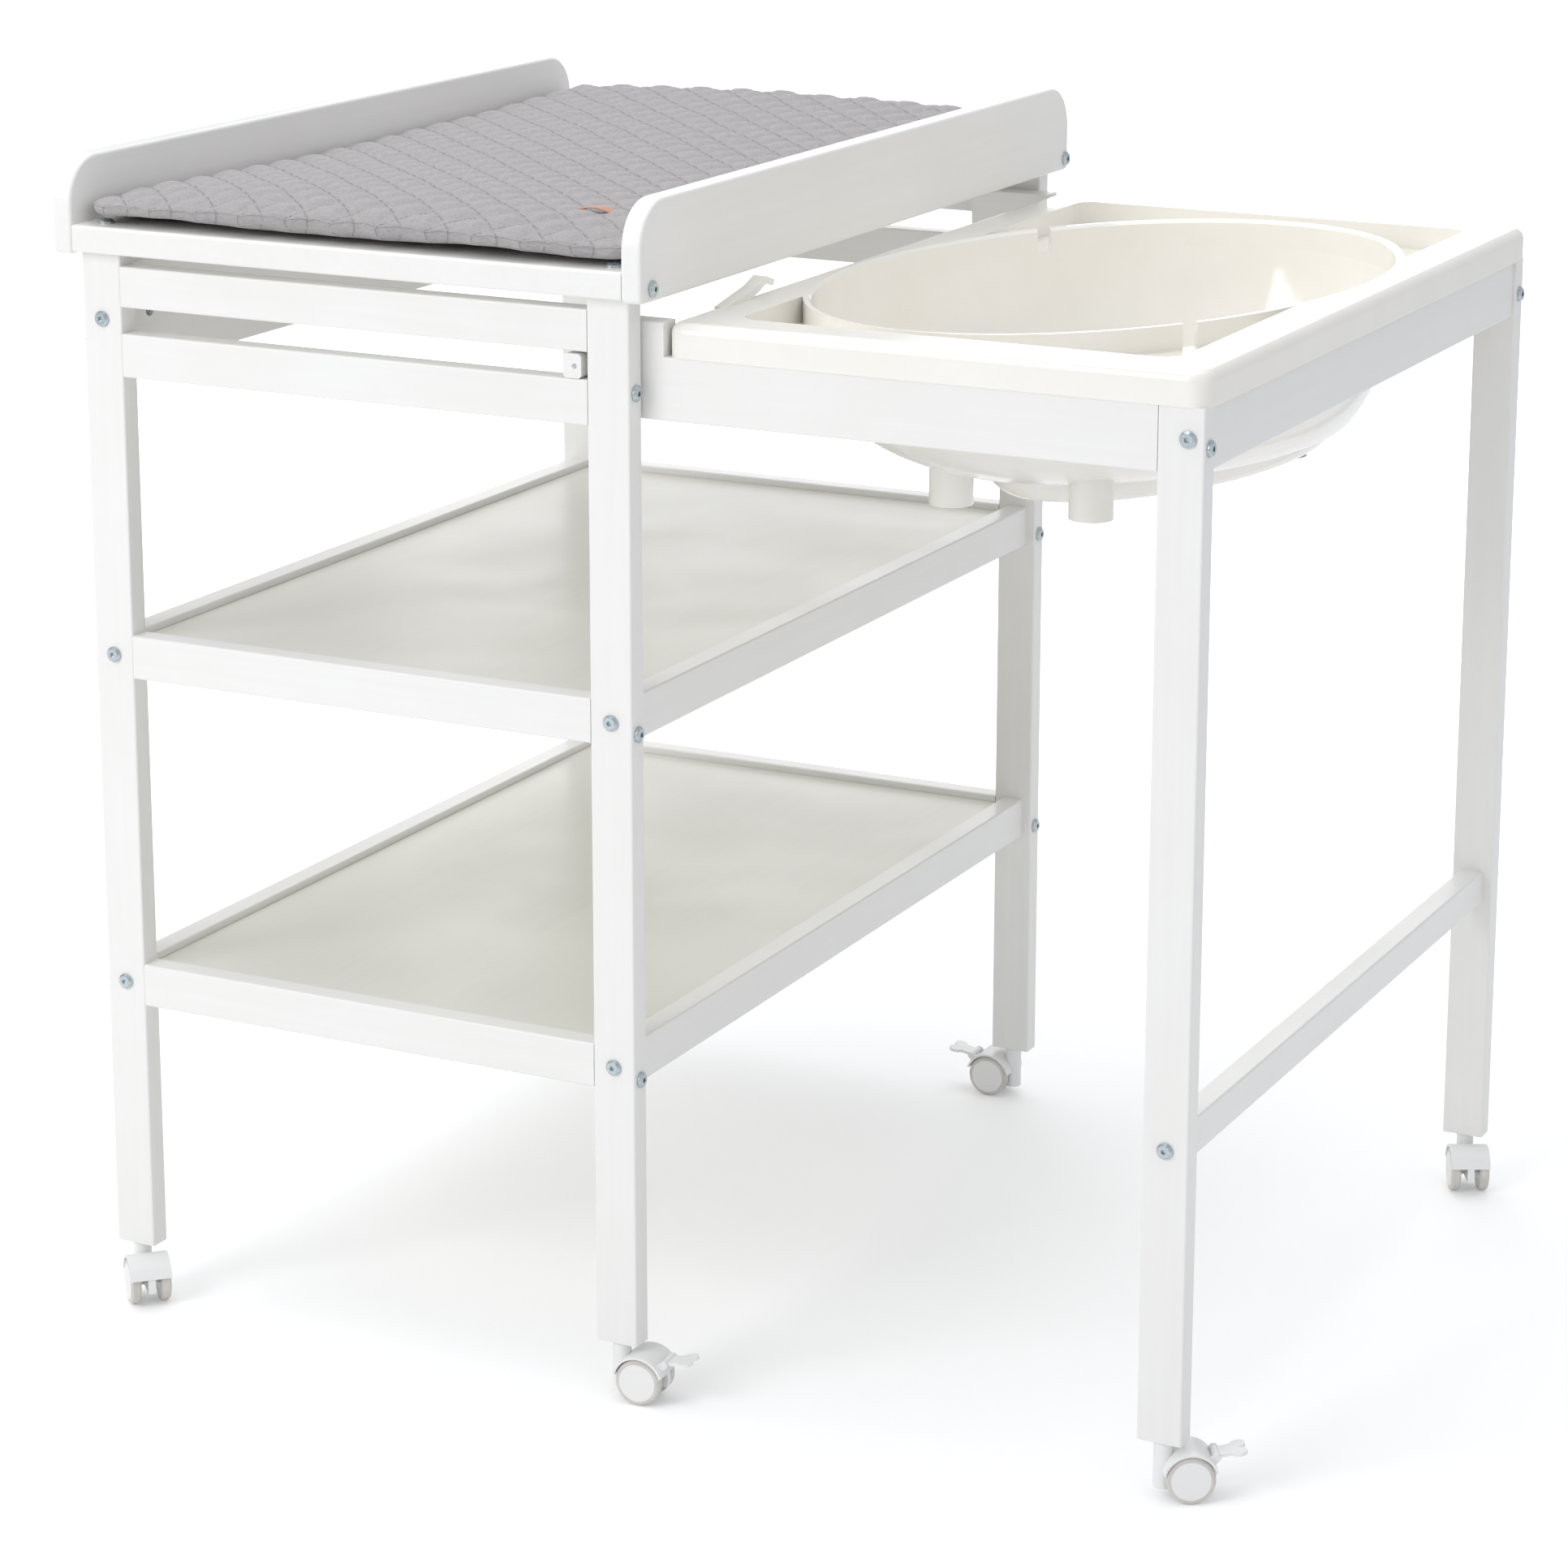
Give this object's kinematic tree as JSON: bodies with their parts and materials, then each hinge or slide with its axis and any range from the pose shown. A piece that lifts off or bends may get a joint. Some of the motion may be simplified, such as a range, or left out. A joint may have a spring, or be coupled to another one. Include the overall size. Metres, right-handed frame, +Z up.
{
  "type": "changing table with bathtub",
  "caption": "Changing table on casters with raised sides, a quilted pad, open shelves and a bathtub in a frame that slides out sideways.",
  "frame": {"origin": "on the floor under the middle of the whole object, with the bathtub pulled out", "axes": "+X along the slide, the way the bathtub comes out; +Y across the depth, from the near end rails to the far ones; +Z up"},
  "size_m": [1.0308, 0.8668, 0.98],
  "materials": {
    "white_lacquered_wood": "satin white lacquer over solid wood",
    "lacquered_panel": "satin off-white lacquer on a thin board",
    "moulded_cream_plastic": "glossy cream moulding",
    "grey_plastic": "satin grey",
    "grey_rubber": "matt grey",
    "quilted_cotton": "light grey woven cotton, diamond quilted",
    "copper_leather": "smooth light brown",
    "white_caster_plastic": "satin white",
    "white_wheel_plastic": "satin white with a slightly greyer tread",
    "caster_socket_plastic": "satin white",
    "zinc_plated_steel": "bright zinc plating",
    "bare_beech": "unfinished"
  },
  "bodies": {
    "stand": {"changing_top": "white_lacquered_wood", "leg_back_left": "white_lacquered_wood", "leg_back_right": "white_lacquered_wood", "leg_front_left": "white_lacquered_wood", "leg_front_right": "white_lacquered_wood", "long_rail_left": "white_lacquered_wood", "lower_end_rail_back": "white_lacquered_wood", "lower_end_rail_front": "white_lacquered_wood", "lower_shelf_panel": "lacquered_panel", "lower_shelf_rail_back": "white_lacquered_wood", "lower_shelf_rail_front": "white_lacquered_wood", "lower_shelf_rail_left": "white_lacquered_wood", "lower_shelf_rail_right": "white_lacquered_wood", "side_board_left": "white_lacquered_wood", "side_board_right": "white_lacquered_wood", "stand_bolts": "zinc_plated_steel", "stand_caster_sockets": "caster_socket_plastic", "stand_dowels": "bare_beech", "stand_nuts": "zinc_plated_steel", "upper_end_rail_back": "white_lacquered_wood", "upper_end_rail_front": "white_lacquered_wood", "upper_shelf_panel": "lacquered_panel", "upper_shelf_rail_back": "white_lacquered_wood", "upper_shelf_rail_front": "white_lacquered_wood", "upper_shelf_rail_left": "white_lacquered_wood", "upper_shelf_rail_right": "white_lacquered_wood"},
    "carriage": {"carriage_bolts": "zinc_plated_steel", "carriage_caster_sockets": "caster_socket_plastic", "carriage_end_rail": "white_lacquered_wood", "carriage_leg_back": "white_lacquered_wood", "carriage_leg_front": "white_lacquered_wood", "carriage_nuts": "zinc_plated_steel", "carriage_rail_back": "white_lacquered_wood", "carriage_rail_front": "white_lacquered_wood", "carriage_stretcher": "white_lacquered_wood", "guide_block_back": "white_lacquered_wood", "guide_block_front": "white_lacquered_wood"},
    "tub": {"bathtub": "moulded_cream_plastic", "drain_fitting": "grey_plastic"},
    "plug": {"drain_plug": "grey_rubber"},
    "pad": {"changing_pad": "quilted_cotton", "pad_tag": "copper_leather"},
    "swivel_front_left": {"caster_housing_front_left": "white_caster_plastic"},
    "wheels_front_left": {"caster_wheels_front_left": "white_wheel_plastic"},
    "swivel_front_right": {"caster_housing_front_right": "white_caster_plastic"},
    "wheels_front_right": {"caster_wheels_front_right": "white_wheel_plastic"},
    "lever_front_right": {"brake_lever_front_right": "white_caster_plastic"},
    "swivel_back_left": {"caster_housing_back_left": "white_caster_plastic"},
    "wheels_back_left": {"caster_wheels_back_left": "white_wheel_plastic"},
    "swivel_back_right": {"caster_housing_back_right": "white_caster_plastic"},
    "wheels_back_right": {"caster_wheels_back_right": "white_wheel_plastic"},
    "lever_back_right": {"brake_lever_back_right": "white_caster_plastic"},
    "swivel_carriage_front": {"caster_housing_carriage_front": "white_caster_plastic"},
    "wheels_carriage_front": {"caster_wheels_carriage_front": "white_wheel_plastic"},
    "lever_carriage_front": {"brake_lever_carriage_front": "white_caster_plastic"},
    "swivel_carriage_back": {"caster_housing_carriage_back": "white_caster_plastic"},
    "wheels_carriage_back": {"caster_wheels_carriage_back": "white_wheel_plastic"}
  },
  "joints": [
    {"name": "carriage_slide", "type": "slide", "parent": "stand", "child": "carriage", "axis": [1, 0, 0], "range_m": [-0.39, 0]},
    {"name": "tub_lift", "type": "slide", "parent": "carriage", "child": "tub", "axis": [0, 0, 1], "range_m": [0, 0.2]},
    {"name": "plug_lift", "type": "slide", "parent": "tub", "child": "plug", "axis": [0, 0, 1], "range_m": [0, 0.1]},
    {"name": "pad_lift", "type": "slide", "parent": "stand", "child": "pad", "axis": [0, 0, 1], "range_m": [0, 0.12]},
    {"name": "swivel_front_left", "type": "hinge", "parent": "stand", "child": "swivel_front_left", "pos_m": [-0.47554, -0.39196, 0.046], "axis": [0, 0, 1], "continuous": true},
    {"name": "roll_front_left", "type": "hinge", "parent": "swivel_front_left", "child": "wheels_front_left", "pos_m": [-0.4614, -0.4061, 0.01925], "axis": [0.7071, 0.7071, 0], "continuous": true},
    {"name": "swivel_front_right", "type": "hinge", "parent": "stand", "child": "swivel_front_right", "pos_m": [-0.00654, -0.39196, 0.046], "axis": [0, 0, 1], "continuous": true},
    {"name": "roll_front_right", "type": "hinge", "parent": "swivel_front_right", "child": "wheels_front_right", "pos_m": [0.01338, -0.39021, 0.01925], "axis": [-0.0872, 0.9962, 0], "continuous": true},
    {"name": "brake_front_right", "type": "hinge", "parent": "swivel_front_right", "child": "lever_front_right", "pos_m": [0.03379, -0.38843, 0.03526], "axis": [-0.0872, 0.9962, 0], "range_deg": [0, 14]},
    {"name": "swivel_back_left", "type": "hinge", "parent": "stand", "child": "swivel_back_left", "pos_m": [-0.47554, 0.38904, 0.046], "axis": [0, 0, 1], "continuous": true},
    {"name": "roll_back_left", "type": "hinge", "parent": "swivel_back_left", "child": "wheels_back_left", "pos_m": [-0.48555, 0.40636, 0.01925], "axis": [-0.866, -0.5, 0], "continuous": true},
    {"name": "swivel_back_right", "type": "hinge", "parent": "stand", "child": "swivel_back_right", "pos_m": [-0.00654, 0.38904, 0.046], "axis": [0, 0, 1], "continuous": true},
    {"name": "roll_back_right", "type": "hinge", "parent": "swivel_back_right", "child": "wheels_back_right", "pos_m": [-0.02654, 0.38904, 0.01925], "axis": [0, -1, 0], "continuous": true},
    {"name": "brake_back_right", "type": "hinge", "parent": "swivel_back_right", "child": "lever_back_right", "pos_m": [-0.04703, 0.38904, 0.03526], "axis": [0, -1, 0], "range_deg": [0, 14]},
    {"name": "swivel_carriage_front", "type": "hinge", "parent": "carriage", "child": "swivel_carriage_front", "pos_m": [0.45545, -0.36996, 0.046], "axis": [0, 0, 1], "continuous": true},
    {"name": "roll_carriage_front", "type": "hinge", "parent": "swivel_carriage_front", "child": "wheels_carriage_front", "pos_m": [0.47278, -0.35996, 0.01925], "axis": [-0.5, 0.866, 0], "continuous": true},
    {"name": "brake_carriage_front", "type": "hinge", "parent": "swivel_carriage_front", "child": "lever_carriage_front", "pos_m": [0.49052, -0.34971, 0.03526], "axis": [-0.5, 0.866, 0], "range_deg": [0, 14]},
    {"name": "swivel_carriage_back", "type": "hinge", "parent": "carriage", "child": "swivel_carriage_back", "pos_m": [0.45545, 0.36704, 0.046], "axis": [0, 0, 1], "continuous": true},
    {"name": "roll_carriage_back", "type": "hinge", "parent": "swivel_carriage_back", "child": "wheels_carriage_back", "pos_m": [0.46453, 0.34922, 0.01925], "axis": [0.891, 0.454, 0], "continuous": true}
  ]
}
